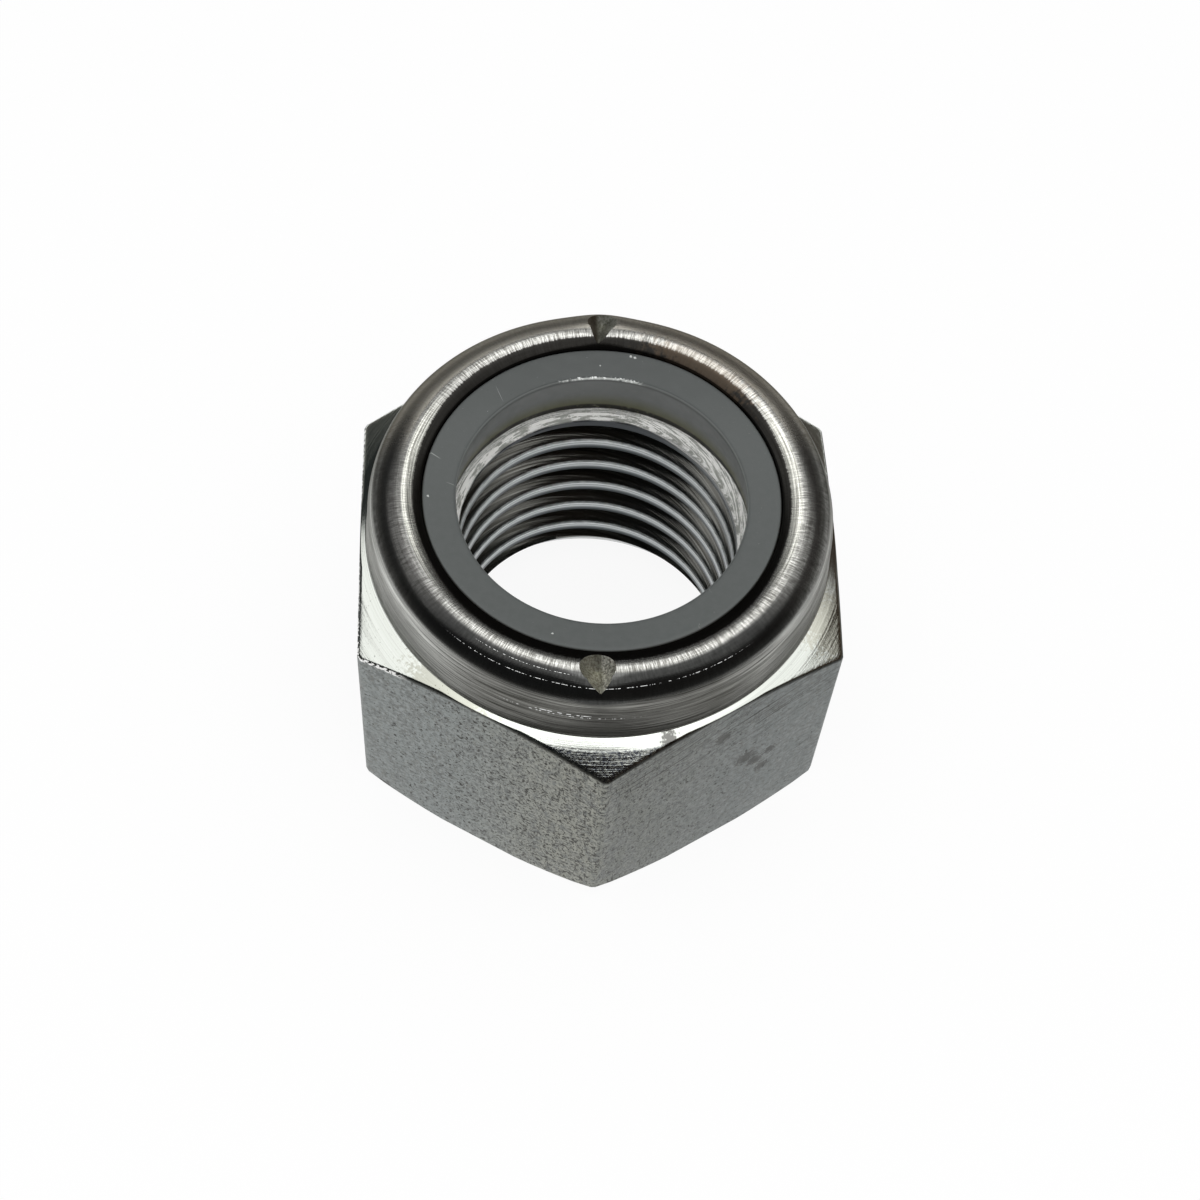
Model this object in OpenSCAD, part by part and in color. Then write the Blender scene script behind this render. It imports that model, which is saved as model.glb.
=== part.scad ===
// Hexagon nut with a locking ring of polymer held under a rolled rim.
// The origin is the centre of the bearing face and the thread axis is +Z.
// Two corners of the hexagon lie on the Y axis.

/* [Hexagon] */
// Width across the flats
across_flats = 36; // [36:0.5:41]
// Height of the flats at their middle, where the top chamfer starts
flat_h = 21.5; // [16:0.1:22.5]
// How far each vertical corner is turned back from the sharp hexagon
corner_trim = 0.1; // [0.05:0.05:0.8]
// Angle of the turned chamfer on top of the hexagon
top_chamfer_angle = 20; // [12:1:30]
// Diameter of the flat bearing face underneath, where the bottom chamfer starts
bearing_d = 36.6; // [33:0.1:38]
// Angle of the bottom chamfer
bottom_chamfer_angle = 35; // [15:1:45]

/* [Collar] */
// Height of the whole nut
total_h = 27.1; // [26.5:0.1:32]
// Outside diameter of the collar at its foot
collar_d = 35.1; // [34.6:0.1:35.6]
// Wall thickness of the collar and of its rolled rim
collar_wall = 2.2; // [1.6:0.1:2.6]
// Fillet between the top chamfer and the collar wall
collar_fillet = 0.6; // [0.2:0.1:1]
// How far the wall leans inwards by the height where its rim begins to bend
collar_lean = 0.2; // [0:0.05:0.4]
// Radius of the round that the rolled rim makes, outside and inside its top
rim_bend_r = 2.6; // [2.4:0.1:2.9]
// Width of the rim, from the bend's outside to the opening
rim_w = 4; // [3.8:0.1:4.4]

/* [Thread] */
// Diameter of the bore at the thread's crests
minor_d = 21.25; // [20.7:0.05:21.6]
// Diameter of the countersink at the bearing face
countersink_d = 25.9; // [24.5:0.1:26.5]
// Angle of the countersink's wall from the axis
countersink_angle = 30; // [25:1:60]

/* [Insert] */
// Height of the pocket's floor, which the insert stands on
seat_z = 21.4; // [20:0.1:22.4]
// How far the insert's top face lies below the top of the rim, at its outer edge
insert_recess = 0.85; // [0.8:0.05:1.5]
// How much lower that face is at the hole, where the rolling has dished it
insert_dish = 0.25; // [0.05:0.05:0.6]
// Diameter of the hole at the top of the insert
insert_top_d = 21.5; // [21:0.1:22.5]
// Diameter of the hole at the bottom of the insert
insert_bottom_d = 23; // [22.6:0.1:23.6]
// Radius on the upper edge of the hole
insert_edge_r = 0.3; // [0.1:0.05:0.6]
// Gap between the insert and the steel around it
insert_gap = 0.05; // [0.02:0.01:0.2]

/* [Rim notches] */
// Turn of the line of the notches from the corners on the Y axis
notch_turn = -1.7; // [-30:0.1:30]
// Angle of each side of the V from its middle plane
notch_side_angle = 56; // [35:1:60]
// Depth of the front notch below the top of the rim, at its rounded inner end
front_notch_depth = 0.95; // [0.3:0.05:1.2]
// Slope of the front notch, up towards the outside
front_notch_slope = 14; // [4:1:20]
// Depth of the back notch below the top of the rim
back_notch_depth = 0.6; // [0.3:0.05:1.2]
// Slope of the back notch, down towards the outside
back_notch_slope = 26; // [15:1:35]

/* [Hidden] */
$fn = 96;
steel_colour = [0.50, 0.52, 0.52];
insert_colour = [0.36, 0.38, 0.38];
margin = 1;

corner_r = across_flats / 2 / cos(30) - corner_trim;
collar_r = collar_d / 2;
collar_top_r = collar_r - collar_lean;
bore_r = minor_d / 2;
pocket_r = collar_r - collar_wall;
rim_opening_r = collar_top_r - rim_w;
rim_top_r = collar_top_r - rim_bend_r;
rim_bend_z = total_h - rim_bend_r;
rim_under_z = total_h - collar_wall;
pocket_bend_r = rim_bend_r - collar_wall;
insert_top_z = total_h - insert_recess;
countersink_h = (countersink_d - minor_d) / 2 / tan(countersink_angle);

// Height of the top chamfer at a radius
function chamfer_z(r) = flat_h - (r - across_flats / 2) * tan(top_chamfer_angle);

// The round of the fillet: its centre, and the radius where it touches the chamfer
fillet_centre_r = collar_r + collar_fillet;
fillet_touch_r = fillet_centre_r - collar_fillet * sin(top_chamfer_angle);
fillet_centre_z = chamfer_z(fillet_touch_r) + collar_fillet * cos(top_chamfer_angle);

// Unit vector from one point to another
function heading(from, to) = (to - from) / norm(to - from);

// A rectangle from its lowest corner to its highest one
module block2d(low, high) {
    translate(low) square(high - low);
}

// What a round edge takes off the corner p between the edges that run to a and b
module edge_waste(p, a, b, r) {
    along_a = heading(p, a);
    along_b = heading(p, b);
    half_angle = acos(along_a * along_b) / 2;
    middle = heading([0, 0], along_a + along_b);
    centre = p + middle * r / sin(half_angle);
    difference() {
        polygon([
            p + along_a * r / tan(half_angle),
            centre,
            p + along_b * r / tan(half_angle),
            p - middle * r
        ]);
        translate(centre) circle(r = r);
    }
}

// Half section of the hexagon: bearing face, bottom chamfer, corner and top chamfer
module hexagon_section() {
    polygon([
        [0, 0],
        [bearing_d / 2, 0],
        [corner_r, (corner_r - bearing_d / 2) * tan(bottom_chamfer_angle)],
        [corner_r, chamfer_z(corner_r)],
        [collar_r, chamfer_z(collar_r)],
        [0, chamfer_z(collar_r)]
    ]);
}

// Half section of the concave fillet at the foot of the collar
module fillet_section() {
    difference() {
        polygon([
            [rim_top_r, chamfer_z(collar_r) - margin],
            [fillet_touch_r, chamfer_z(fillet_touch_r) - margin],
            [fillet_touch_r, chamfer_z(fillet_touch_r)],
            [fillet_centre_r, fillet_centre_z],
            [rim_top_r, fillet_centre_z]
        ]);
        translate([fillet_centre_r, fillet_centre_z]) circle(r = collar_fillet);
    }
}

// Half section of the collar, whose wall leans in a little and is bent over into a round rim
module collar_section() {
    polygon([
        [0, flat_h - margin],
        [collar_r, flat_h - margin],
        [collar_r, fillet_centre_z],
        [collar_top_r, rim_bend_z],
        [0, rim_bend_z]
    ]);
    intersection() {
        translate([rim_top_r, rim_bend_z]) circle(r = rim_bend_r);
        block2d([0, rim_bend_z - margin / 10], [collar_top_r, total_h + margin]);
    }
}

// Half section of the hollow: countersink, bore, insert pocket and rim opening
module hollow_section() {
    block2d([0, -margin], [bore_r, total_h]);
    polygon([
        [0, -margin],
        [countersink_d / 2 + margin * tan(countersink_angle), -margin],
        [bore_r, countersink_h],
        [0, countersink_h]
    ]);
    difference() {
        block2d([0, seat_z], [pocket_r, rim_under_z]);
        edge_waste([pocket_r, rim_under_z], [pocket_r, seat_z], [0, rim_under_z], pocket_bend_r);
    }
    block2d([0, seat_z], [rim_opening_r, total_h + margin]);
}

// Half section of everything that is turned on the steel body
module turned_section() {
    difference() {
        union() {
            hexagon_section();
            fillet_section();
            collar_section();
        }
        hollow_section();
    }
}

// A V groove along the X axis, its bottom through the origin
module v_groove(inner, outer) {
    reach = total_h - seat_z;
    rotate([90, 0, 90])
        translate([0, 0, -inner])
            linear_extrude(height = inner + outer)
                polygon([
                    [0, 0],
                    [reach * tan(notch_side_angle), reach],
                    [-reach * tan(notch_side_angle), reach]
                ]);
}

// A notch right across the rim on the +X side, which opens towards the outside
module open_notch(depth, slope) {
    reach = total_h - seat_z;
    translate([rim_top_r, 0, total_h - depth])
        rotate([0, slope, 0])
            v_groove(reach, reach);
}

// A notch on the +X side with a round inner end, which runs out towards the outside
module punched_notch(depth, slope) {
    reach = total_h - seat_z;
    translate([rim_top_r, 0, total_h - depth]) {
        cylinder(h = reach, r1 = 0, r2 = reach * tan(notch_side_angle));
        rotate([0, -slope, 0])
            v_groove(0, reach);
    }
}

// The steel nut in one piece
module hex_body() {
    color(steel_colour)
        difference() {
            intersection() {
                rotate([0, 0, 90]) cylinder(r = across_flats / 2 / cos(30), h = total_h + margin, $fn = 6);
                rotate_extrude() turned_section();
            }
            rotate([0, 0, notch_turn - 90]) punched_notch(front_notch_depth, front_notch_slope);
            rotate([0, 0, notch_turn + 90]) open_notch(back_notch_depth, back_notch_slope);
        }
}

// Half section of the locking insert, held by the rim on a shoulder
module insert_section() {
    body_r = pocket_r - insert_gap;
    neck_r = rim_opening_r - insert_gap;
    hole_edge = [insert_top_d / 2, insert_top_z - insert_dish];
    hole_foot = [insert_bottom_d / 2, seat_z];
    neck_edge = [neck_r, insert_top_z];
    shoulder_edge = [body_r, rim_under_z];
    difference() {
        polygon([
            hole_foot,
            [body_r, seat_z],
            shoulder_edge,
            [neck_r, rim_under_z],
            neck_edge,
            hole_edge
        ]);
        edge_waste(shoulder_edge, [body_r, seat_z], [neck_r, rim_under_z], pocket_bend_r);
        edge_waste(hole_edge, hole_foot, neck_edge, insert_edge_r);
    }
}

// The polymer ring that grips the bolt
module locking_insert() {
    color(insert_colour)
        rotate_extrude() insert_section();
}

hex_body();
locking_insert();
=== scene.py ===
# %% [markdown]
# # A hexagon nut with a locking insert
# The nut is a bar of cold drawn steel, turned, tapped and zinc plated. Its collar is rolled over
# a polymer ring, which grips the bolt. The frame that is loaded here holds the two solids at
# their real size, and everything below dresses them. Lengths are written in millimetres and
# become metres only when a mesh is made.

# %% Load the frame
import math

import bmesh
import bpy
from mathutils import Matrix, Vector


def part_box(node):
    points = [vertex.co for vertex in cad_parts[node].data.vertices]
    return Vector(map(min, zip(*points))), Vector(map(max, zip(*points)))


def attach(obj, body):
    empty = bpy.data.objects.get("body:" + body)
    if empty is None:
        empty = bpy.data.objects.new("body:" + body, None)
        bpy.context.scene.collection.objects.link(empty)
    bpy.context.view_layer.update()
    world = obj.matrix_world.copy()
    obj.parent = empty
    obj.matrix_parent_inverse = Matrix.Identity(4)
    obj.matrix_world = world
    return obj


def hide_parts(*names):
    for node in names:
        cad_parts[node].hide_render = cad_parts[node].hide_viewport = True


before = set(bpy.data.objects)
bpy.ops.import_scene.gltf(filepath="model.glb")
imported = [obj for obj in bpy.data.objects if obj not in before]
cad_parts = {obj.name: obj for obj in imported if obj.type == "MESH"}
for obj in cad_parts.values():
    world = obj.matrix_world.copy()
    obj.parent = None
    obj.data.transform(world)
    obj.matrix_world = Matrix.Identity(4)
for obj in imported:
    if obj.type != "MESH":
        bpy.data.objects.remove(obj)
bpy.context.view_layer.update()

MM = 0.001
low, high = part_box("hex_body")
print("steel body, mm:", [round((b - a) / MM, 2) for a, b in zip(low, high)])


# %% A helper that puts things in the scene
def add_object(name, data):
    """A new object in the scene, at the origin."""
    thing = bpy.data.objects.new(name, data)
    bpy.context.scene.collection.objects.link(thing)
    return thing


# %% [markdown]
# ## Camera
# The photograph looks down into the nut from about 59 degrees above the bench, a little to the
# left of one corner, with the camera slightly rolled. A camera can be aimed with a Track To
# constraint, but a roll is easier to state as three axes: back (from the nut to the lens),
# right and up. The axes are written as the columns of a matrix.

# %% Camera at the photograph's viewing angle
CAMERA_TURN = math.radians(6.650)
CAMERA_ELEVATION = math.radians(59.126)
CAMERA_ROLL = math.radians(5.902)
CAMERA_DISTANCE = 186.754
CAMERA_ACROSS = -1.2166
CAMERA_UP = -5.7795
FOCAL_PIXELS = 2221.437
IMAGE_PIXELS = 1200
SENSOR = 36.0

back = Vector((0, -math.cos(CAMERA_ELEVATION), math.sin(CAMERA_ELEVATION)))
level = Vector((1, 0, 0))
raised = back.cross(level)
right = math.cos(CAMERA_ROLL) * level + math.sin(CAMERA_ROLL) * raised
up = math.cos(CAMERA_ROLL) * raised - math.sin(CAMERA_ROLL) * level
place = back * CAMERA_DISTANCE - right * CAMERA_ACROSS - up * CAMERA_UP

camera_data = bpy.data.cameras.new("camera")
camera_data.sensor_width = SENSOR
camera_data.lens = FOCAL_PIXELS / IMAGE_PIXELS * SENSOR
camera_data.clip_start = 0.01
camera_data.clip_end = 50
camera = add_object("camera", camera_data)
camera.matrix_world = (Matrix.Rotation(-CAMERA_TURN, 4, "Z") @ Matrix.Translation(place * MM)
                       @ Matrix((right, up, back)).transposed().to_4x4())
bpy.context.scene.camera = camera
print("lens, mm:", round(camera_data.lens, 2))

# %% [markdown]
# ## Wires
# Node trees for shapes and for materials are wired in the same way. Every Math node could be
# placed and linked by hand, but a formula is easier to read as a formula. So a Wire holds one
# value in a tree, and adding or multiplying two wires adds the Math node that does it.


# %% Wires, which turn arithmetic into nodes
class Wire:
    """One value in a node tree; arithmetic on it adds Math nodes to that tree."""

    def __init__(self, tree, socket):
        self.tree = tree
        self.socket = socket

    def __add__(self, other):
        return calc("ADD", self, other)

    def __sub__(self, other):
        return calc("SUBTRACT", self, other)

    def __rsub__(self, other):
        return calc("SUBTRACT", other, self)

    def __mul__(self, other):
        return calc("MULTIPLY", self, other)

    def __truediv__(self, other):
        return calc("DIVIDE", self, other)

    def __rtruediv__(self, other):
        return calc("DIVIDE", other, self)

    def __abs__(self):
        return calc("ABSOLUTE", self)

    __radd__ = __add__
    __rmul__ = __mul__


# %% Helpers that place nodes
def put(tree, kind, inputs=None, **settings):
    """Adds a node, fills or links its inputs, and returns its outputs by name and number."""
    node = tree.nodes.new(kind)
    for name, value in settings.items():
        setattr(node, name, value)
    for key, value in (inputs or {}).items():
        if isinstance(value, Wire):
            tree.links.new(value.socket, node.inputs[key])
        else:
            node.inputs[key].default_value = value
    outputs = {}
    for number, socket in enumerate(node.outputs):
        outputs[number] = Wire(tree, socket)
        outputs.setdefault(socket.name, outputs[number])
    return outputs


def calc(operation, *values, clamp=False):
    """One step of arithmetic on wires and numbers."""
    tree = next(value.tree for value in values if isinstance(value, Wire))
    return put(tree, "ShaderNodeMath", dict(enumerate(values)),
               operation=operation, use_clamp=clamp)[0]


def larger(value, *others):
    """The largest of some values."""
    for other in others:
        value = calc("MAXIMUM", value, other)
    return value


def mix(mask, first, second):
    """The first number where the mask is 0, and the second where it is 1."""
    return put(mask.tree, "ShaderNodeMix", {0: mask, 2: first, 3: second})[0]


def split(place):
    """The three parts of a vector."""
    return put(place.tree, "ShaderNodeSeparateXYZ", {0: place})


def join(*parts):
    """A vector from its parts."""
    return put(parts[0].tree, "ShaderNodeCombineXYZ", dict(enumerate(parts)))[0]


FLOAT, INT, VECTOR = "NodeSocketFloat", "NodeSocketInt", "NodeSocketVector"


def add_sockets(tree, inputs, outputs):
    """Declares a tree's named inputs, with their defaults, and its outputs."""
    for name, kind, default in inputs:
        socket = tree.interface.new_socket(name, in_out="INPUT", socket_type=kind)
        if default is not None:
            socket.default_value = default
    for name, kind in outputs:
        tree.interface.new_socket(name, in_out="OUTPUT", socket_type=kind)


# %% [markdown]
# ## The nut's sizes
# These repeat the sizes of the solids. The thread is metric coarse: the groove's flanks stand
# at 30 degrees to a plane square to the axis, and the crests are cut flat by the drilled hole.

# %% Sizes of the hexagon and the chamfers
ACROSS_FLATS = 36.0
FLAT_HEIGHT = 21.5
CORNER_R = ACROSS_FLATS / 2 / math.cos(math.radians(30)) - 0.1
TOP_ANGLE = math.radians(20)
TOP_SLOPE = math.tan(TOP_ANGLE)
TIP_R = 18.5
TIP_SLOPE = math.tan(math.radians(22.3))
BEARING_R = 18.3
BOTTOM_SLOPE = math.tan(math.radians(35))
print("radius at the corners, mm:", round(CORNER_R, 3))

# %% Sizes of the collar, its rim and the pocket
TOTAL_HEIGHT = 27.1
COLLAR_R = 17.55
COLLAR_TOP_R = 17.35
FILLET_R = 0.07
BEND_R = 2.4
RIM_TOP_R = COLLAR_TOP_R - BEND_R
RIM_OPENING_R = 13.35
LIP_DROP = 0.4
LIP_FACE = 0.15
CROWN_Z = TOTAL_HEIGHT - 0.001
POCKET_R = 15.35
POCKET_BEND_R = 0.4
RIM_UNDER_Z = 24.9
SEAT_Z = 21.4
print("radius at the top of the rim, mm:", round(RIM_TOP_R, 2))

# %% Sizes of the thread
PITCH = 3.0
THREAD_PHASE = 0.665
CREST_R = 10.625
CREST_WIDTH = 1.04
ROOT_R = 12.0
COUNTERSINK_R = 12.95
COUNTERSINK_SLOPE = math.tan(math.radians(30))
SEAM_R = 12.4
COLUMNS = 360
START_ANGLE = 0.5
print("thread depth, mm:", ROOT_R - CREST_R)

# %% [markdown]
# ## The tapped bore
# A tap cuts one groove that climbs by the pitch in each turn. A Screw modifier can sweep a
# tooth's outline, but its ends are ragged and have to be trimmed. Here Geometry Nodes bend a
# flat grid instead: a point's place across the grid gives its angle, its place along gives its
# height, and the height within the pitch gives the radius. Heights stop at the bearing face
# and at the pocket's floor, and each countersink is the larger of two radii, so the thread
# runs out at both ends as a real one does.

# %% The named inputs of the tree
BORE_INPUTS = (
    ("Columns", INT, 360), ("Rows Per Pitch", INT, 20), ("Turns", INT, 9),
    ("Pitch", FLOAT, 3.0), ("Phase", FLOAT, 0.0), ("Start Angle", FLOAT, 0.5),
    ("Crest Radius", FLOAT, 10.6), ("Crest Width", FLOAT, 1.0), ("Root Radius", FLOAT, 12.0),
    ("Edge Softness", FLOAT, 0.1), ("Top", FLOAT, 21.4),
    ("Countersink Radius", FLOAT, 12.9), ("Countersink Slope", FLOAT, 0.577),
    ("Seat Radius", FLOAT, 11.1), ("Seat Slope", FLOAT, 1.3), ("Seam Radius", FLOAT, 12.4),
    ("Material", "NodeSocketMaterial", None),
)


# %% The radius of the bore at a height
def bore_radius(given, height, turn):
    """The thread's groove, or a countersink where that is wider."""
    pitch = given["Pitch"]
    soft = given["Edge Softness"]
    within = height / pitch - turn - given["Phase"]
    from_crest = abs(calc("FRACT", within + 50.5) - 0.5)
    past_crest = from_crest * pitch - given["Crest Width"] * 0.5
    flank = calc("SMOOTH_MAX", past_crest * math.sqrt(3), 0.0, soft)
    groove = calc("SMOOTH_MIN", flank + given["Crest Radius"], given["Root Radius"], soft)
    cone = given["Countersink Radius"] - height * given["Countersink Slope"]
    seat = given["Seat Radius"] - (given["Top"] - height) * given["Seat Slope"]
    return larger(groove, cone, seat)


# %% The tree that bends a grid into a tapped bore
def make_bore_tree():
    """A grid wrapped once round the axis, whose rows climb with the thread."""
    tree = bpy.data.node_groups.new("tapped_bore", "GeometryNodeTree")
    add_sockets(tree, BORE_INPUTS, (("Geometry", "NodeSocketGeometry"),))
    given = put(tree, "NodeGroupInput")
    grid = put(tree, "GeometryNodeMeshGrid", {
        "Size X": 1.0, "Size Y": 1.0, "Vertices X": given["Columns"] + 1.0,
        "Vertices Y": given["Rows Per Pitch"] * given["Turns"] + 1.0})
    on_grid = split(put(tree, "GeometryNodeInputPosition")[0])
    turn = on_grid[0] + 0.5 + given["Start Angle"] / 360.0
    along = on_grid[1] + 0.5
    climb = along * given["Turns"] + turn - 2.0
    raw = (climb + given["Phase"]) * given["Pitch"]
    height = calc("MINIMUM", larger(raw, 0.0), given["Top"])
    last_row = calc("GREATER_THAN", along, 0.9999)
    radius = mix(last_row, bore_radius(given, height, turn), given["Seam Radius"])
    angle = turn * math.tau
    spot = join(radius * calc("COSINE", angle), radius * calc("SINE", angle), height)
    bent = put(tree, "GeometryNodeSetPosition", {"Geometry": grid["Mesh"], "Position": spot})
    whole = put(tree, "GeometryNodeMergeByDistance", {"Geometry": bent[0], "Distance": 0.002})
    real = put(tree, "GeometryNodeRealizeInstances", {"Geometry": whole[0]})
    dressed = put(tree, "GeometryNodeSetMaterial",
                  {"Geometry": real[0], "Material": given["Material"]})
    put(tree, "NodeGroupOutput", {0: dressed[0]})
    return tree


# %% Run the tree and keep its result as a plain mesh
def grow(name, tree, values):
    """Runs a tree on an empty mesh with its named inputs set, and returns the plain mesh."""
    holder = add_object(name + "_tree", bpy.data.meshes.new(name + "_base"))
    modifier = holder.modifiers.new("nodes", "NODES")
    modifier.node_group = tree
    for item in tree.interface.items_tree:
        if item.item_type == "SOCKET" and item.in_out == "INPUT" and item.name in values:
            modifier[item.identifier] = values[item.name]
    holder.update_tag()
    seen = holder.evaluated_get(bpy.context.evaluated_depsgraph_get())
    mesh = bpy.data.meshes.new_from_object(seen)
    mesh.name = name
    holder.modifiers.remove(modifier)
    bpy.data.objects.remove(holder)
    return mesh


bore = grow("bore", make_bore_tree(), {
    "Columns": COLUMNS, "Rows Per Pitch": 20, "Turns": 9, "Pitch": PITCH,
    "Phase": THREAD_PHASE, "Start Angle": START_ANGLE, "Crest Radius": CREST_R,
    "Crest Width": CREST_WIDTH, "Root Radius": ROOT_R, "Edge Softness": 0.1, "Top": SEAT_Z,
    "Countersink Radius": COUNTERSINK_R, "Countersink Slope": COUNTERSINK_SLOPE,
    "Seam Radius": SEAM_R,
})
print("bore, faces:", len(bore.polygons))

# %% [markdown]
# ## The outside of the steel body
# The blank is a hexagon bar in a lathe. Every surface but the six flats is turned, so at any
# angle the outside is one outline that stops at the flat: the chamfers only clip the corners,
# which gives their curved upper and lower edges. The outline is worked out for each of 360
# angles and the rings are joined. Booleans could cut the same shape from a prism and a lathe
# body, but they leave long thin faces that shade badly on polished metal.


# %% Short runs of points, for building an outline
def soft_corner(start, corner, end, steps):
    """Points of a small round that touches both sides of a corner."""
    points = []
    for i in range(steps + 1):
        t = i / steps
        points.append(tuple(
            (1 - t) ** 2 * a + 2 * t * (1 - t) * b + t ** 2 * c
            for a, b, c in zip(start, corner, end)))
    return points


def arc(centre, radius, first, last, steps):
    """Points of an arc from one angle to another, in degrees."""
    points = []
    for i in range(steps + 1):
        a = math.radians(first + (last - first) * i / steps)
        points.append((centre[0] + radius * math.cos(a), centre[1] + radius * math.sin(a)))
    return points


def run(start, end, steps):
    """Points between two points, without the first and the last."""
    return [(start[0] + (end[0] - start[0]) * i / steps,
             start[1] + (end[1] - start[1]) * i / steps) for i in range(1, steps)]


# %% Heights of the two chamfers
def top_z(r):
    """Height of the top chamfer at a radius; its tips are cut a little steeper."""
    tip = max(0.0, r - TIP_R) * (TIP_SLOPE - TOP_SLOPE)
    return FLAT_HEIGHT - (r - ACROSS_FLATS / 2) * TOP_SLOPE - tip


def bottom_z(r):
    """Height of the bottom chamfer at a radius."""
    return max(0.0, (r - BEARING_R) * BOTTOM_SLOPE)


print("top chamfer, mm:", round(top_z(COLLAR_R), 2), "down to", round(top_z(CORNER_R), 2))

# %% The underside, the flat and the top chamfer
FOOT_SOFTNESS = 0.2
CORNER_SOFTNESS = 0.25
CORNER_START = 20.0
CORNER_WIDTH = 0.6
EDGE_START = 17.95
EDGE_GROWTH = 0.6
EDGE_LEAST = 0.03
EDGE_MOST = 0.22
FACE_STEPS = (15.5, 17.6)
BEARING_SOFTNESS = 0.12


def foot_softness(side):
    """How far the lower edge is rubbed round; the corners are rubbed the most."""
    at_corner = min(1.0, max(0.0, (side - CORNER_START) / CORNER_WIDTH))
    return FOOT_SOFTNESS + CORNER_SOFTNESS * at_corner


def underside(side):
    """Bearing face and bottom chamfer, for a column whose flat stands at radius side."""
    edge = side - foot_softness(side)
    points = [(COUNTERSINK_R, 0), (COUNTERSINK_R + 0.3, 0), (FACE_STEPS[0], 0)]
    for r in (FACE_STEPS[1], BEARING_R - BEARING_SOFTNESS, BEARING_R + BEARING_SOFTNESS):
        points.append((min(r, edge), bottom_z(min(r, edge))))
    return points + run(points[-1], (edge, bottom_z(edge)), 3)


def flat_and_chamfer(side):
    """The flat with its softened upper and lower edges, and the start of the chamfer."""
    soft = min(EDGE_MOST, max(EDGE_LEAST, (side - EDGE_START) * EDGE_GROWTH))
    rub = foot_softness(side)
    foot = bottom_z(side)
    flat = soft_corner((side - rub, bottom_z(side - rub)), (side, foot), (side, foot + rub), 4)
    shoulder = (side, top_z(side) - soft)
    edge = soft_corner(shoulder, (side, top_z(side)), (side - soft, top_z(side - soft)), 4)
    flat += run(flat[-1], shoulder, 5) + edge[:3]
    return flat, edge[3:]


# %% [markdown]
# ## The collar and its rolled rim
# A roller bends the collar's thin wall inwards over the ring, so the wall goes over into a round
# outer bend and a flatter inner side that ends at the lip. Beside the two struck notches the
# metal is pushed over a little. The rim could be a bent strip with a Simple Deform modifier, but
# as a part of the same outline it stays joined to the wall without a seam.

# %% Where the notches were struck, and how far they pushed the rim
FRONT_TURN = math.radians(-93.0)
BACK_TURN = math.radians(88.5)
FRONT_PUSHED_OUT = 0.9
BACK_PUSHED_OUT = 0.4
BACK_PUSHED_IN = 0.5
PUSH_REACH = 1.9


def pushed(angle, struck, most):
    """How far the metal beside a struck notch is pushed over; it fades within 3 or 4 mm."""
    away = RIM_TOP_R * ((angle - struck + math.pi) % math.tau - math.pi)
    return most * math.exp(-(away / PUSH_REACH) ** 2)


# %% The wall, the rim and the pocket at one angle
def collar_wall(bend):
    """The small fillet on the chamfer and the wall, up to the start of the bend."""
    centre_r = COLLAR_R + FILLET_R
    touch_r = centre_r - FILLET_R * math.sin(TOP_ANGLE)
    centre_z = top_z(touch_r) + FILLET_R * math.cos(TOP_ANGLE)
    wall = arc((centre_r, centre_z), FILLET_R, 270 - math.degrees(TOP_ANGLE), 180, 4)[1:]
    wall.append((COLLAR_R, centre_z + FILLET_R))
    wall += run((COLLAR_R, centre_z), (COLLAR_TOP_R, CROWN_Z - bend), 4)
    return (touch_r, top_z(touch_r)), wall


def rolled_rim(outer_top, inner_top, bend):
    """The outer bend, the flatter inner side and the small face of the lip."""
    rim = arc((outer_top, CROWN_Z - bend), bend, 0, 90, 20)
    reach = inner_top - RIM_OPENING_R
    inner_r = (reach ** 2 + LIP_DROP ** 2) / (2 * LIP_DROP)
    lip = (RIM_OPENING_R, CROWN_Z - LIP_DROP)
    lip_angle = 90 + math.degrees(math.asin(reach / inner_r))
    rim += arc((inner_top, CROWN_Z - inner_r), inner_r, 90, lip_angle - 2, 10)[1:]
    rim += soft_corner(rim.pop(), lip, (RIM_OPENING_R, lip[1] - LIP_FACE), 4)
    return rim, [(RIM_OPENING_R, (lip[1] + RIM_UNDER_Z) / 2), (RIM_OPENING_R, RIM_UNDER_Z)]


FINISHES = ["flat", "chamfer", "collar", "rim", "thread", "faced", "notch"]


def outline(angle):
    """Points (radius, height, finish) from the countersink's edge up and round to the seam."""
    off = (math.degrees(angle) + 30) % 60 - 30
    side = min(ACROSS_FLATS / 2 / math.cos(math.radians(off)), CORNER_R)
    flat, chamfer = flat_and_chamfer(side)
    outer_top = RIM_TOP_R + (pushed(angle, FRONT_TURN, FRONT_PUSHED_OUT)
                             + pushed(angle, BACK_TURN, BACK_PUSHED_OUT))
    bend = COLLAR_TOP_R - outer_top
    touch, wall = collar_wall(bend)
    rim, pocket = rolled_rim(outer_top, RIM_TOP_R - pushed(angle, BACK_TURN, BACK_PUSHED_IN), bend)
    pocket += arc((POCKET_R - POCKET_BEND_R, RIM_UNDER_Z - POCKET_BEND_R), POCKET_BEND_R, 90, 0, 3)
    pocket += [(POCKET_R, SEAT_Z), (14.0, SEAT_Z), (SEAM_R, SEAT_Z)]
    chamfer += [(r, top_z(r)) for r, z in run(chamfer[-1], touch, 9)]
    chamfer += [(touch[0] + FILLET_R / 2, top_z(touch[0] + FILLET_R / 2)), touch]
    parts = (("faced", underside(side)), ("flat", flat), ("chamfer", chamfer),
             ("collar", wall), ("rim", rim), ("faced", pocket))
    return [(r, z, FINISHES.index(name)) for name, points in parts for r, z in points]


print("points in an outline:", len(outline(0.0)))

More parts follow.
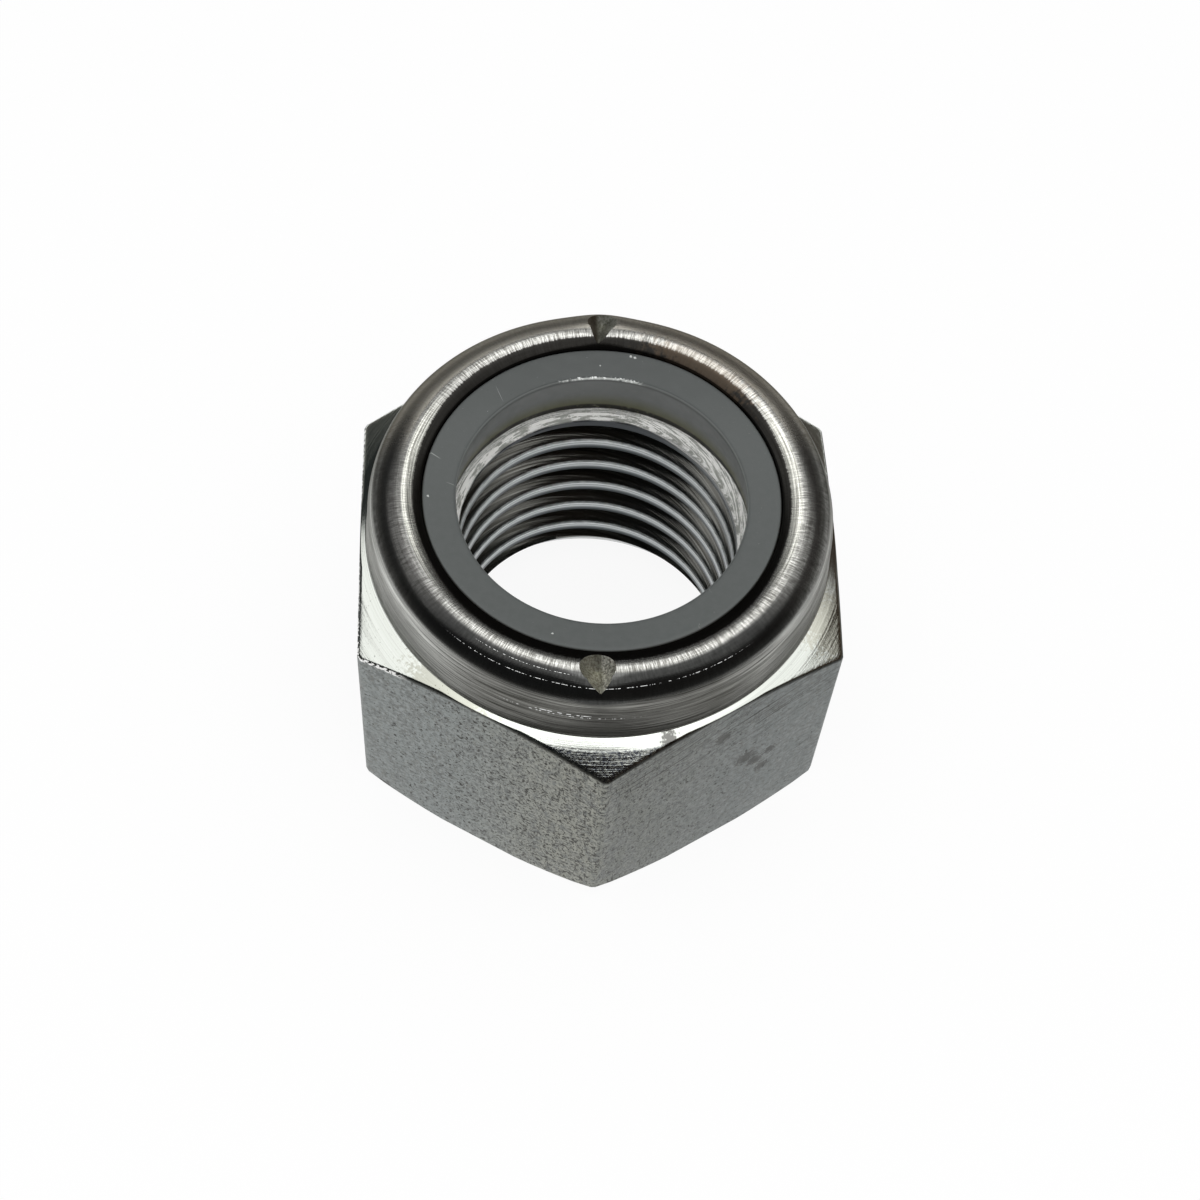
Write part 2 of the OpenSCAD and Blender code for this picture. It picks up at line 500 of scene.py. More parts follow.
# %% [markdown]
# ## One closed steel mesh
# The rings of the outline are joined into a skin. The skin and the bore share a ring of points
# at the seam and at the countersink, so merging the doubles closes the mesh. It is then
# checked: a closed mesh has two faces at every edge.


# %% Helpers that join rings, close a mesh and report on it
def wrap(bm, section):
    """Joins the sections of all columns; section(angle) gives points (radius, height, finish)."""
    rings = []
    for column in range(COLUMNS):
        angle = math.radians(START_ANGLE + 360 * column / COLUMNS)
        rings.append([(bm.verts.new((r * math.cos(angle), r * math.sin(angle), z)), finish)
                      for r, z, finish in section(angle)])
    for column in range(COLUMNS):
        here, there = rings[column], rings[(column + 1) % COLUMNS]
        for row in range(len(here) - 1):
            face = bm.faces.new((here[row][0], there[row][0], there[row + 1][0],
                                 here[row + 1][0]))
            face.material_index = here[row][1]
            face.smooth = True


def report_mesh(label, bm):
    """Prints whether a mesh is closed, how many triangles it has, and its volume."""
    loose = [edge for edge in bm.edges if len(edge.link_faces) != 2]
    triangles = sum(len(face.verts) - 2 for face in bm.faces)
    print(label, "triangles:", triangles, "open edges:", len(loose),
          "volume, mm3:", round(bm.calc_volume(signed=True), 1))


def as_mesh(name, bm, *materials):
    """A mesh from the work in bm, with its materials."""
    mesh = bpy.data.meshes.new(name)
    bm.to_mesh(mesh)
    bm.free()
    for material in materials:
        mesh.materials.append(material)
    return mesh


# %% Join the skin and the bore
steel = bmesh.new()
steel.from_mesh(bore)
for face in steel.faces:
    face.material_index = FINISHES.index("thread")
    face.smooth = True
wrap(steel, outline)
bmesh.ops.remove_doubles(steel, verts=steel.verts, dist=0.003)
bmesh.ops.dissolve_degenerate(steel, edges=steel.edges, dist=0.0005)
bmesh.ops.recalc_face_normals(steel, faces=steel.faces)
report_mesh("steel before the notches,", steel)
steel_materials = {finish: bpy.data.materials.new("steel_" + finish) for finish in FINISHES}
body_mesh = as_mesh("steel_body", steel, *steel_materials.values())

# %% [markdown]
# ## The notches across the rim
# After the rim is rolled, a chisel and a punch strike two notches into it, which lock the
# polymer ring against turning. A notch's outline on the round rim is a curve that would be
# hard to draw, but it appears by itself when the tool's shape is subtracted from the closed
# mesh. Each is a V with one round end, which a cone cuts. The front one is round at its inner
# end and the back one at its outer end, and both run out towards the front, as the tools were
# tilted. The tools carry their own material, and the Boolean transfers it to the new facets.

# %% The shapes of the tools
NOTCH_SIDE = math.tan(math.radians(53.5))
TOOL_REACH = 5.7
TOOL_TIP = 0.05
POINT_TIP = 0.03
# Turn, radius and depth of the round end, and the tool's yaw in degrees
FRONT_TOOL = (FRONT_TURN, 14.75, 0.95, 8.0)
BACK_TOOL = (BACK_TURN, 16.0, 0.92, -7.5)
FRONT_SLOPE = -15.0
BACK_SLOPE = 16.5


def tool(name, bm, placed, slope):
    """An object for cutting; placed is its turn, radius, depth under the rim's top and yaw."""
    turn, radius, depth, yaw = placed
    bmesh.ops.recalc_face_normals(bm, faces=bm.faces)
    bm.transform(Matrix.Rotation(turn, 4, "Z")
                 @ Matrix.Translation((radius, 0, TOTAL_HEIGHT - depth))
                 @ Matrix.Rotation(math.radians(yaw), 4, "Z")
                 @ Matrix.Rotation(math.radians(slope), 4, "Y"))
    return add_object(name, as_mesh(name, bm, steel_materials["notch"]))


def wedge(name, inner, outer, placed, slope):
    """A V prism along the radius; a positive slope runs down towards the outside."""
    half = [(TOOL_TIP * NOTCH_SIDE, TOOL_TIP), (TOOL_REACH * NOTCH_SIDE, TOOL_REACH)]
    section = [(-y, z) for y, z in reversed(half)] + [(0, TOOL_TIP * 0.6)] + half
    bm = bmesh.new()
    ends = [[bm.verts.new((x, y, z)) for y, z in section] for x in (-inner, outer)]
    for i in range(len(section)):
        j = (i + 1) % len(section)
        bm.faces.new((ends[0][i], ends[0][j], ends[1][j], ends[1][i]))
    for end in ends:
        bm.faces.new(end)
    return tool(name, bm, placed, slope)


def point(name, placed):
    """A cone that stands on its tip."""
    bm = bmesh.new()
    bmesh.ops.create_cone(bm, cap_ends=True, segments=48, radius1=POINT_TIP,
                          radius2=TOOL_REACH * NOTCH_SIDE, depth=TOOL_REACH)
    bm.transform(Matrix.Translation((0, 0, TOOL_REACH / 2)))
    return tool(name, bm, placed, 0)


# %% Cut the notches
def cut_away(mesh, cutters):
    """The mesh less the cutters, as a plain mesh."""
    blank = add_object("blank", mesh)
    for cutter in cutters:
        cut = blank.modifiers.new(cutter.name, "BOOLEAN")
        cut.operation = "DIFFERENCE"
        cut.object = cutter
        cut.solver = "EXACT"
        cut.material_mode = "TRANSFER"
    bpy.context.view_layer.update()
    seen = blank.evaluated_get(bpy.context.evaluated_depsgraph_get())
    result = bpy.data.meshes.new_from_object(seen)
    for thing in [blank] + cutters:
        bpy.data.objects.remove(thing)
    return result


notched = cut_away(body_mesh, [
    point("front_point", FRONT_TOOL),
    wedge("front_wedge", 0.0, TOOL_REACH, FRONT_TOOL, FRONT_SLOPE),
    point("back_point", BACK_TOOL),
    wedge("back_wedge", TOOL_REACH, 0.0, BACK_TOOL, BACK_SLOPE),
])
check = bmesh.new()
check.from_mesh(notched)
report_mesh("steel after the notches,", check)
check.free()


# %% The steel body
SHARP_ANGLE = math.radians(35.0)


def make_piece(name, mesh, node):
    """A finished piece in metres, which rides on the body and stands for a solid."""
    mesh.name = name
    mesh.transform(Matrix.Scale(MM, 4))
    mesh.update()
    mesh.set_sharp_from_angle(angle=SHARP_ANGLE)
    piece = add_object(name, mesh)
    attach(piece, "root")
    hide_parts(node)
    print("piece:", name, "finishes:", [material.name for material in mesh.materials])


make_piece("steel_body", notched, "hex_body")

# %% [markdown]
# ## The locking ring
# The ring is moulded in a tough polymer and drops into the turned pocket before the rim is
# rolled over its shoulder, which dishes its top face. It is round, so one section is carried
# round the axis, with the same helper as the steel's skin. The closed section ends where it
# starts, and merging the doubles seals it.

# %% The ring's section, wrapped round the axis
INSERT_GAP = 0.05
INSERT_TOP_Z = TOTAL_HEIGHT - 0.50
HOLE_Z = INSERT_TOP_Z - 0.25
HOLE_TOP_R = 10.75
HOLE_BOTTOM_R = 11.5


def insert_section(angle):
    """Points of the ring's section, once round; it is the same at every angle."""
    body_r = POCKET_R - INSERT_GAP
    neck_r = RIM_OPENING_R - INSERT_GAP
    neck = (neck_r - 0.18, INSERT_TOP_Z - 0.01)
    brink = (HOLE_TOP_R + 0.3, HOLE_Z + 0.03)
    hole = (HOLE_TOP_R + 0.05, HOLE_Z - 0.3)
    foot = (HOLE_BOTTOM_R, SEAT_Z + 0.15)
    start = (HOLE_BOTTOM_R + 0.15, SEAT_Z)
    points = [start, (13.5, SEAT_Z), (body_r, SEAT_Z)]
    points += arc((body_r - POCKET_BEND_R, RIM_UNDER_Z - POCKET_BEND_R), POCKET_BEND_R, 0, 90, 4)
    points += [(neck_r, RIM_UNDER_Z)]
    points += soft_corner((neck_r, INSERT_TOP_Z - 0.18), (neck_r, INSERT_TOP_Z), neck, 4)
    points += run(neck, brink, 8) + soft_corner(brink, (HOLE_TOP_R, HOLE_Z), hole, 6)
    points += run(hole, foot, 10) + soft_corner(foot, (HOLE_BOTTOM_R, SEAT_Z), start, 3)
    return [(r, z, 0) for r, z in points]


ring = bmesh.new()
wrap(ring, insert_section)
bmesh.ops.remove_doubles(ring, verts=ring.verts, dist=0.003)
bmesh.ops.recalc_face_normals(ring, faces=ring.faces)
report_mesh("locking ring,", ring)
insert_material = bpy.data.materials.new("moulded_polymer")
make_piece("locking_ring", as_mesh("locking_ring", ring, insert_material),
           "locking_insert")

# %% [markdown]
# ## Shader groups
# Every finish on this nut is made by something that turned round the axis, slid along a flat or
# struck it, so the patterns share a few ingredients. Each is a node group with named sockets.
# They read Object coordinates, which are the real place on the nut in metres, so that marks
# keep their true size and stay where they are in every view. Painted image maps could carry
# the same marks, but they would have a fixed resolution and seams round the axis.


# %% Helpers for building the groups
def begin_group(name, inputs, outputs):
    """A new shader group with its sockets declared; returns the tree and its inputs."""
    tree = bpy.data.node_groups.new(name, "ShaderNodeTree")
    add_sockets(tree, inputs, outputs)
    return tree, put(tree, "NodeGroupInput")


def end_group(tree, outputs):
    """Links the group's outputs, and returns the finished group."""
    put(tree, "NodeGroupOutput", outputs)
    print("group:", tree.name, "nodes:", len(tree.nodes))
    return tree


def vector(operation, *values):
    """One step of arithmetic on vectors."""
    return put(values[0].tree, "ShaderNodeVectorMath", dict(enumerate(values)),
               operation=operation)


def scaled(place, factor):
    """A vector times a number."""
    return put(place.tree, "ShaderNodeVectorMath", {0: place, "Scale": factor},
               operation="SCALE")[0]


def noise(place, detail, roughness=0.6):
    """A noise value whose grains are as large as one unit of the vector."""
    return put(place.tree, "ShaderNodeTexNoise", {
        "Vector": place, "Scale": 1.0, "Detail": detail, "Roughness": roughness})[0]


def rise(value, first, last, low=0.0, high=1.0):
    """A smooth step from low, at the value first, to high, at the value last."""
    return put(value.tree, "ShaderNodeMapRange", {
        "Value": value, "From Min": first, "From Max": last, "To Min": low, "To Max": high,
    }, interpolation_type="SMOOTHSTEP")[0]


# %% [markdown]
# ### A point's place round the axis
# A turned mark follows the axis, so most patterns need to know a point's radius, its height and
# its way round, and not its X and Y. The Profile is the radius less the height, which grows
# steadily along the chamfers and over the bend, so rings can be counted along it.

# %% Group: places round the axis
AROUND_R = 19.0


def axis_places():
    """Places in millimetres: from the axis, up, round it, to the right and to the back."""
    names = ("Radius", "Height", "Profile", "Around", "Right", "Back")
    tree, given = begin_group(
        "axis_places", (("Vector", VECTOR, None),),
        [(name, FLOAT) for name in names] + [("Direction", VECTOR), ("Place", VECTOR)])
    place = scaled(given["Vector"], 1 / MM)
    level = vector("MULTIPLY", place, (1, 1, 0))[0]
    radius = vector("LENGTH", level)["Value"]
    parts = split(place)
    return end_group(tree, {
        "Radius": radius, "Height": parts[2], "Profile": radius - parts[2],
        "Around": calc("ARCTAN2", parts[1], parts[0]) * AROUND_R,
        "Right": parts[0], "Back": parts[1],
        "Direction": vector("NORMALIZE", level)[0], "Place": place})


AXIS_PLACES = axis_places()

# %% [markdown]
# ### Turned marks
# A lathe tool leaves rings that are fine across and long round the axis, and a roller leaves
# the opposite. A Wave texture in ring mode is too regular, so noise is stretched instead: by one
# length along the section and by another round the axis.

# %% Group: marks that run round the axis or square to it
STREAK_R = 15.0


def turned_streaks():
    """Noise that is stretched by two lengths: along the section and round the axis."""
    tree, given = begin_group("turned_streaks", (
        ("Profile", FLOAT, 0.0), ("Direction", VECTOR, None), ("Along Section", FLOAT, 0.1),
        ("Round Axis", FLOAT, 10.0), ("Detail", FLOAT, 3.0), ("Contrast", FLOAT, 3.0),
    ), (("Value", FLOAT),))
    ring = split(scaled(given["Direction"], STREAK_R / given["Round Axis"]))
    spot = join(ring[0], ring[1], given["Profile"] / given["Along Section"])
    centred = (noise(spot, given["Detail"], 0.65) - 0.5) * given["Contrast"]
    return end_group(tree, {0: calc("ADD", centred, 0.5, clamp=True)})


TURNED_STREAKS = turned_streaks()

# %% [markdown]
# ### Grains, pits, scratches and smudges
# The metal is mottled in grains of many sizes. Handling adds three kinds of marks: small pits
# where noise passes a threshold, long thin scratches, which are the same noise stretched in a
# turned plane, and smudges round one place. A particle system could scatter them as objects,
# but marks this shallow are only colour.


# %% Group: grains
def mottling():
    """Noise in millimetres; the scale is the number of grains in a millimetre on each axis."""
    tree, given = begin_group("grains", (("Place", VECTOR, None), ("Scale", VECTOR, None)),
                              (("Value", FLOAT),))
    return end_group(tree, {0: noise(vector("MULTIPLY", given["Place"], given["Scale"])[0], 3.0)})


GRAINS = mottling()


# %% Group: pits and specks
def pits():
    """A mask of small ragged spots; a higher threshold leaves fewer of them."""
    tree, given = begin_group("pits", (
        ("Place", VECTOR, None), ("Size", FLOAT, 0.3), ("Threshold", FLOAT, 0.62),
        ("Seed", FLOAT, 0.0)), (("Mask", FLOAT),))
    shifted = vector("ADD", given["Place"], join(*[given["Seed"]] * 3))[0]
    grain = noise(scaled(shifted, 1.0 / given["Size"]), 2.5)
    return end_group(tree, {0: rise(grain, given["Threshold"], given["Threshold"] + 0.05)})


PITS = pits()


# %% Group: scratches on a side face
def slant_scratches():
    """Long thin marks in the plane of way round and height, turned by an angle."""
    tree, given = begin_group("slant_scratches", (
        ("Around", FLOAT, 0.0), ("Height", FLOAT, 0.0), ("Angle", FLOAT, 0.5),
        ("Length", FLOAT, 6.0), ("Width", FLOAT, 0.12), ("Threshold", FLOAT, 0.66),
    ), (("Mask", FLOAT),))
    flat = join(given["Around"], given["Height"])
    parts = split(put(tree, "ShaderNodeVectorRotate", {"Vector": flat, "Angle": given["Angle"]},
                      rotation_type="Z_AXIS")[0])
    grain = noise(join(parts[0] / given["Length"], parts[1] / given["Width"]), 1.0)
    return end_group(tree, {0: rise(grain, given["Threshold"], given["Threshold"] + 0.04)})


SLANT_SCRATCHES = slant_scratches()


# %% Group: a smudge round one place
def smudge():
    """A soft ragged patch round a centre, both in millimetres."""
    tree, given = begin_group("smudge", (
        ("Place", VECTOR, None), ("Centre", VECTOR, None), ("Reach", FLOAT, 1.0),
        ("Grain", FLOAT, 0.3)), (("Mask", FLOAT),))
    away = vector("DISTANCE", given["Place"], given["Centre"])["Value"]
    grain = noise(scaled(given["Place"], 1.0 / given["Grain"]), 3.0)
    return end_group(tree, {0: rise(away / given["Reach"] + (grain - 0.5) * 2.0, 1.0, 0.55)})


SMUDGE = smudge()

# %% [markdown]
# ### Placing the groups
# A material only says which marks it has and how large they are. So each group gets one short
# function that places it with its values, and a few more mix colours, make a soft band or turn
# a height into a bump. All sizes are in millimetres.


# %% Helpers that place the groups in a material
def mark(group, places, *values):
    """Places a group: inputs named like a place are linked, and the others get the values."""
    names = [item.name for item in group.interface.items_tree if item.in_out == "INPUT"]
    inputs = {name: places[name] for name in names if name in places}
    inputs.update(zip([name for name in names if name not in places], values))
    return put(places[0].tree, "ShaderNodeGroup", inputs, node_tree=group)


def streaks(places, along, around, contrast=3.0, detail=3.0):
    """Marks that are so long along the section, and so long round the axis."""
    return mark(TURNED_STREAKS, places, along, around, detail, contrast)[0]


def specks(places, size, threshold, seed=0.0):
    """Small ragged spots."""
    return mark(PITS, places, size, threshold, seed)[0]


def scratches(places, angle, length, width, threshold):
    """Thin straight marks; the angle is in degrees from level."""
    return mark(SLANT_SCRATCHES, places, math.radians(angle), length, width, threshold)[0]


def patch(places, centre, reach, grain):
    """A ragged patch round one place."""
    return mark(SMUDGE, places, centre, reach, grain)[0]


def grains(places, size, stretch=(1, 1, 1)):
    """Noise with grains of one size, longer along some axes."""
    return mark(GRAINS, places, tuple(1 / (size * s) for s in stretch))[0]


def band(value, middle, reach):
    """A soft band of a value round its middle."""
    return rise(abs(value - middle), reach, reach * 0.5)


# %% Helpers that begin and end a material
def begin_material(material, metallic, roughness):
    """Turns on a material's nodes and sets its Principled shader's metallic and roughness; returns
    the shader and the places.
    """
    material.use_nodes = True
    tree = material.node_tree
    shader = tree.nodes["Principled BSDF"]
    shader.inputs["Metallic"].default_value = metallic
    shader.inputs["Roughness"].default_value = roughness
    where = put(tree, "ShaderNodeTexCoord")["Object"]
    return shader, put(tree, "ShaderNodeGroup", {"Vector": where}, node_tree=AXIS_PLACES)


def tint(mask, first, second, blend="MIX"):
    """Mixes two colours, each a wire or three numbers, by a mask."""
    values = {0: mask}
    for key, value in ((6, first), (7, second)):
        values[key] = value if isinstance(value, Wire) else (*value, 1.0)
    return put(mask.tree, "ShaderNodeMix", values, data_type="RGBA", blend_type=blend)[2]


def bump(height, depth):
    """A bump whose depth is in millimetres."""
    return put(height.tree, "ShaderNodeBump",
               {"Height": height, "Strength": 1.0, "Distance": depth * MM})[0]


def count(label, shader):
    """Prints how many nodes a material has so far."""
    print(label, "nodes:", len(shader.id_data.nodes))


def finish(label, shader, **wires):
    """Links what changes over the surface to the shader."""
    names = {"colour": "Base Color", "metal": "Metallic", "rough": "Roughness",
             "normal": "Normal"}
    for key, wire in wires.items():
        wire.tree.links.new(wire.socket, shader.inputs[names[key]])
    count(label, shader)


# %% [markdown]
# ## The drawn flats
# The flats are the skin of cold drawn bar under a thin film of zinc. They are dull and faintly
# mottled, with dark pits that crowd towards the corners and a few slanting scratches from the
# spanners and chutes they have met. The mottling mixes two greys by noise of a third of a
# millimetre, and the pits are both darker and deeper.

# %% The greys of the flats
shader, places = begin_material(steel_materials["flat"], 1.0, 0.45)
fine = grains(places, 0.32, (1.3, 1.3, 1))
broad = grains(places, 1.3, (1, 1, 1.6))
upright = grains(places, 0.2, (1, 1, 5))
cloud = fine * 0.5 + broad * 0.32 + upright * 0.18
right_side = rise(places["Right"], -1.0, 1.5)
near_corner = rise(places["Back"], -13.5, -20.0)
light_grey = tint(near_corner, (0.32, 0.345, 0.34), (0.37, 0.375, 0.33))
# Painted shade: the flats on the right side are painted a darker grey, and are multiplied darker
# below.
light_grey = tint(right_side * 0.5, light_grey, (0.24, 0.255, 0.25))
colour = tint(rise(cloud, 0.36, 0.60), (0.15, 0.16, 0.155), light_grey)
brown = rise(grains(places, 0.30), 0.50, 0.66)
colour = tint(brown * 0.3, colour, (0.20, 0.19, 0.155))
# Painted shade: the right flats are multiplied darker.
colour = tint(right_side, colour, (0.80, 0.81, 0.81), "MULTIPLY")
count("greys of the flats,", shader)

# %% The pits, scratches and smudges on the flats
SMUDGES = (((11.3, -14.2, 11.8), 1.2), ((12.2, -13.7, 10.4), 0.9), ((13.4, -13.1, 10.9), 0.7),
           ((13.0, -13.3, 8.6), 0.8), ((9.0, -15.6, 17.6), 0.9),
           ((-16.45, -11.3, 1.2), 0.75), ((-15.9, -11.6, 0.8), 0.6))
fewer = rise(places["Back"], -15.5, -10.5) * 0.045 + right_side * 0.03
crowd = 0.605 - near_corner * 0.03 + fewer
dark_pits = specks(places, 0.36, crowd - 0.008, 3.0)
tiny_pits = specks(places, 0.20, crowd - 0.01, 11.0)
high_up = rise(places["Height"], 13.0, 17.5)
slant = larger(scratches(places, -14, 8.0, 0.16, 0.60) * high_up,
               scratches(places, -27, 5.0, 0.10, 0.69))
slant = slant * (right_side * rise(places["Back"], -2.0, -7.0))
nicks = near_corner * rise(grains(places, 0.16, (1, 1, 6)), 0.60, 0.66)
dark = larger(dark_pits, tiny_pits, slant, nicks)
for centre, reach in SMUDGES:
    dark = larger(dark, patch(places, centre, reach, 0.22) * 0.8)
colour = tint(dark * 0.9, colour, (0.04, 0.038, 0.032))
count("flats with their pits,", shader)

# %% [markdown]
# Along the upper edge the colour darkens in a thin line, and at the far left a row of torn beads
# is painted near white and less metallic, as painted glints. Both follow the edge's true curve,
# because the height of the chamfer's cone is known at every radius. Small meshes could stand for
# the beads, but they are only a few tenths of a millimetre wide.

# %% The upper edge of the flats, and the finish
edge_z = FLAT_HEIGHT + ACROSS_FLATS / 2 * TOP_SLOPE - places["Radius"] * TOP_SLOPE
below_edge = edge_z - places["Height"]
colour = tint(rise(below_edge, 0.30, 0.16) * 0.75, colour, (0.05, 0.05, 0.045))
far_left = rise(places["Right"], -14.0, -15.5)
# Painted glints: torn beads at the far left are painted near white and made less metallic.
painted_bead_glints = band(below_edge, 0.22, 0.22) * rise(grains(places, 0.26), 0.48, 0.53) * far_left
colour = tint(painted_bead_glints, colour, (0.9, 0.9, 0.88))
finish("flats,", shader, colour=colour, metal=1.0 - painted_bead_glints,
       rough=rise(broad, 0.3, 0.7, 0.40, 0.54), normal=bump(fine * 0.4 - dark, 0.015))

# %% [markdown]
# ## The turned chamfers
# The chamfers are cut last and stay bright: the tool leaves fine rings, and a few deeper ones
# where a chip dragged. The rings are noise that is short along the section and long round the
# axis. They feed colour, roughness and bump together, so that a ring also changes how the light
# breaks on it. The tips, cut a little steeper, carry more relief.

# %% Finish of the chamfers
DULL_PATCHES = (((-11.5, -13.7, 21.5), 4.2, 0.35, 0.55, (0.42, 0.41, 0.32)),
                ((17.5, -8.0, 21.1), 3.4, 0.3, 0.5, (0.55, 0.52, 0.40)),
                ((4.6, -17.6, 21.3), 0.8, 0.25, 1.0, (0.22, 0.22, 0.21)))
shader, places = begin_material(steel_materials["chamfer"], 1.0, 0.1)
rings = streaks(places, 0.06, 12.0)
deep_rings = streaks(places, 0.2, 26.0, 5.0, 2.0)
colour = tint(rings, (0.85, 0.89, 0.83), (0.95, 0.98, 0.94))
colour = tint(rise(deep_rings, 0.85, 1.0) * 0.15, colour, (0.40, 0.40, 0.37))
colour = tint(specks(places, 0.2, 0.67, 5.0) * 0.7, colour, (0.10, 0.10, 0.09))
for centre, reach, grain, share, shade in DULL_PATCHES:
    colour = tint(patch(places, centre, reach, grain) * share, colour, shade)
rest = rise(grains(places, 0.22), 0.35, 0.65)
tip = rise(places["Radius"], TIP_R - 0.05, TIP_R + 0.15)
relief = (rings * 0.5 + deep_rings * 0.6 + rest * 0.6) * (tip * 4.0 + 1.0)
relief = relief * rise(places["Back"], 0.0, 6.0, 1.0, 2.0)
# Painted shade: the tip of the chamfer at the front corner is painted a darker bluish grey.
front_tip_painted_shade = tip * rise(places["Back"], -16.5, -17.8)
colour = tint(front_tip_painted_shade * (1.0 - rest), colour, (0.20, 0.22, 0.26))
finish("chamfers,", shader, colour=colour, rough=rise(rings, 0.0, 1.0, 0.11, 0.06),
       normal=bump(relief, 0.0005))

# %% [markdown]
# ## The collar's wall
# The wall is turned too, and rubbed grey by the rolling tool. It is painted lighter on the nut's
# two sides, as painted light. A few raised rings survive as bright dashes, which are painted
# glints: near white, with the metallic value dropped there. Real ridges could be modelled, but
# they are about a tenth of a millimetre thick.


# %% Group: the turned wall, which goes on under the rim's bend
def turned_wall():
    """The wall's rings, and its dark and light grey, painted lighter on both sides as painted
    light.
    """
    tree, given = begin_group("turned_wall", (
        ("Profile", FLOAT, 0.0), ("Direction", VECTOR, None), ("Right", FLOAT, 0.0),
    ), (("Rings", FLOAT), ("Colour", "NodeSocketColor")))
    rings = streaks(given, 0.055, 4.0, 5.5) * 0.65 + streaks(given, 0.25, 14.0, 4.0) * 0.35
    out = abs(given["Right"])
    # Painted light: both greys grow lighter towards the nut's left and right sides.
    light = tint(rise(out, 7.0, 15.0), (0.31, 0.31, 0.29), (0.90, 0.91, 0.87))
    dark = tint(rise(out, 9.0, 15.0), (0.035, 0.034, 0.030), (0.26, 0.26, 0.25))
    return end_group(tree, {"Rings": rings, "Colour": tint(rings, dark, light)})


TURNED_WALL = turned_wall()


# %% Group: a ring that survives only in dashes
def broken_ring():
    """A mask for a painted glint: a thin ring at one profile, broken into dashes, round a middle.
    """
    tree, given = begin_group("broken_ring", (
        ("Profile", FLOAT, 0.0), ("Direction", VECTOR, None), ("Around", FLOAT, 0.0),
        ("Ring Profile", FLOAT, -7.0), ("Ring Width", FLOAT, 0.05), ("Dash Length", FLOAT, 0.2),
        ("Threshold", FLOAT, 0.5), ("Middle", FLOAT, -30.0), ("Reach", FLOAT, 5.0),
    ), (("Mask", FLOAT),))
    dashes = rise(streaks(given, 6.0, given["Dash Length"], 3.0, 2.0),
                  given["Threshold"], given["Threshold"] + 0.12)
    there = rise(abs(given["Around"] - given["Middle"]), given["Reach"], given["Reach"] * 0.7)
    ring = band(given["Profile"], given["Ring Profile"], given["Ring Width"])
    return end_group(tree, {0: there * ring * dashes})


BROKEN_RING = broken_ring()


def with_painted_glints(places, colour, *rings):
    """The colour with its broken rings painted near white as painted glints, and the lower
    metallic value that goes with them.
    """
    masks = []
    for profile, width, length, threshold, (first, last) in rings:
        middle = math.radians((last + first) / 2) * AROUND_R
        reach = math.radians((last - first) / 2) * AROUND_R
        masks += [mark(BROKEN_RING, places, profile, width, length, threshold, middle, reach)[0]]
    glint = larger(*masks)
    # Painted glints: the dashes are painted near white and made less metallic.
    return tint(glint, colour, (0.85, 0.86, 0.85)), calc("SUBTRACT", 0.9, glint, clamp=True)


# %% Finish of the collar's wall
shader, places = begin_material(steel_materials["collar"], 1.0, 0.35)
wall = mark(TURNED_WALL, places)
# The wall's bright dashes are painted glints.
# Profile, width, length of the dashes, threshold, and the angles where the ring starts and ends
colour, metal = with_painted_glints(places, wall["Colour"], (-7.0, 0.07, 0.35, 0.45, (-109, -93)),
                           (-6.75, 0.05, 0.2, 0.58, (-118, -80)))
shader.inputs["Specular Tint"].default_value = (0.4, 0.4, 0.38, 1.0)
finish("wall,", shader, colour=colour, metal=metal,
       rough=rise(wall["Rings"], 0.0, 1.0, 0.45, 0.30), normal=bump(wall["Rings"], 0.007))

# %% [markdown]
# ## The rolled rim
# Rolling drags the tool across the bend, which leaves fine marks square to the edge and breaks
# the long highlight into teeth. The same group of streaks makes them, now short round the axis
# and long along the section. Low on the bend the wall's rings are still there. Inside the top the
# metal is painted nearly black, as painted shade, and parts of the crown are painted darker or
# lighter by their side of the nut, as painted shade and painted light.

# %% The colours of the rim's crown
shader, places = begin_material(steel_materials["rim"], 1.0, 0.16)
radius = places["Radius"]
behind = places["Back"]
combs = streaks(places, 1.0, 0.11, 4.2)
wide_combs = streaks(places, 0.5, 0.30, 3.5)
inner_lines = streaks(places, 0.08, 6.0, 3.5)
marks = combs * 0.55 + wide_combs * 0.15 + inner_lines * 0.3
crown = tint(marks, (0.055, 0.053, 0.047), (0.29, 0.29, 0.28))
# Painted shade: the outer crown at the front is painted darker.
shaded = rise(radius, 15.10, 15.45) * rise(behind, -6.0, -12.0)
crown = tint(shaded * 0.85, crown, (0.025, 0.026, 0.026))
# Painted shade: the crown on the nut's left side is painted darker, which dims its highlight.
left_side = rise(places["Right"], -8.0, -13.0)
crown = tint(left_side * 0.5, crown, (0.03, 0.03, 0.03))
# The inner crown's fine lines are real; their lighter grey only at the nut's left and right sides
# is painted light.
lines_and_painted_light = rise(radius, 14.9, 14.65) * rise(abs(behind), 10.0, 4.0)
lines_and_painted_light_colour = tint(inner_lines, (0.14, 0.14, 0.125), (0.55, 0.55, 0.51))
crown = tint(lines_and_painted_light * 0.7, crown, lines_and_painted_light_colour)
# At the back the outer crown is rougher, and painted lighter and warmer as a painted sheen.
dragged_and_painted_sheen = rise(behind, 2.0, 9.0) * rise(radius, 14.9, 15.2)
crown = tint(dragged_and_painted_sheen * 0.55, crown, (0.50, 0.47, 0.41))
count("crown of the rim,", shader)

# %% The whole rim, and its finish
upper = rise(places["Height"], 25.7, 26.2)
wall = mark(TURNED_WALL, places)
colour = tint(upper, wall["Colour"], crown)
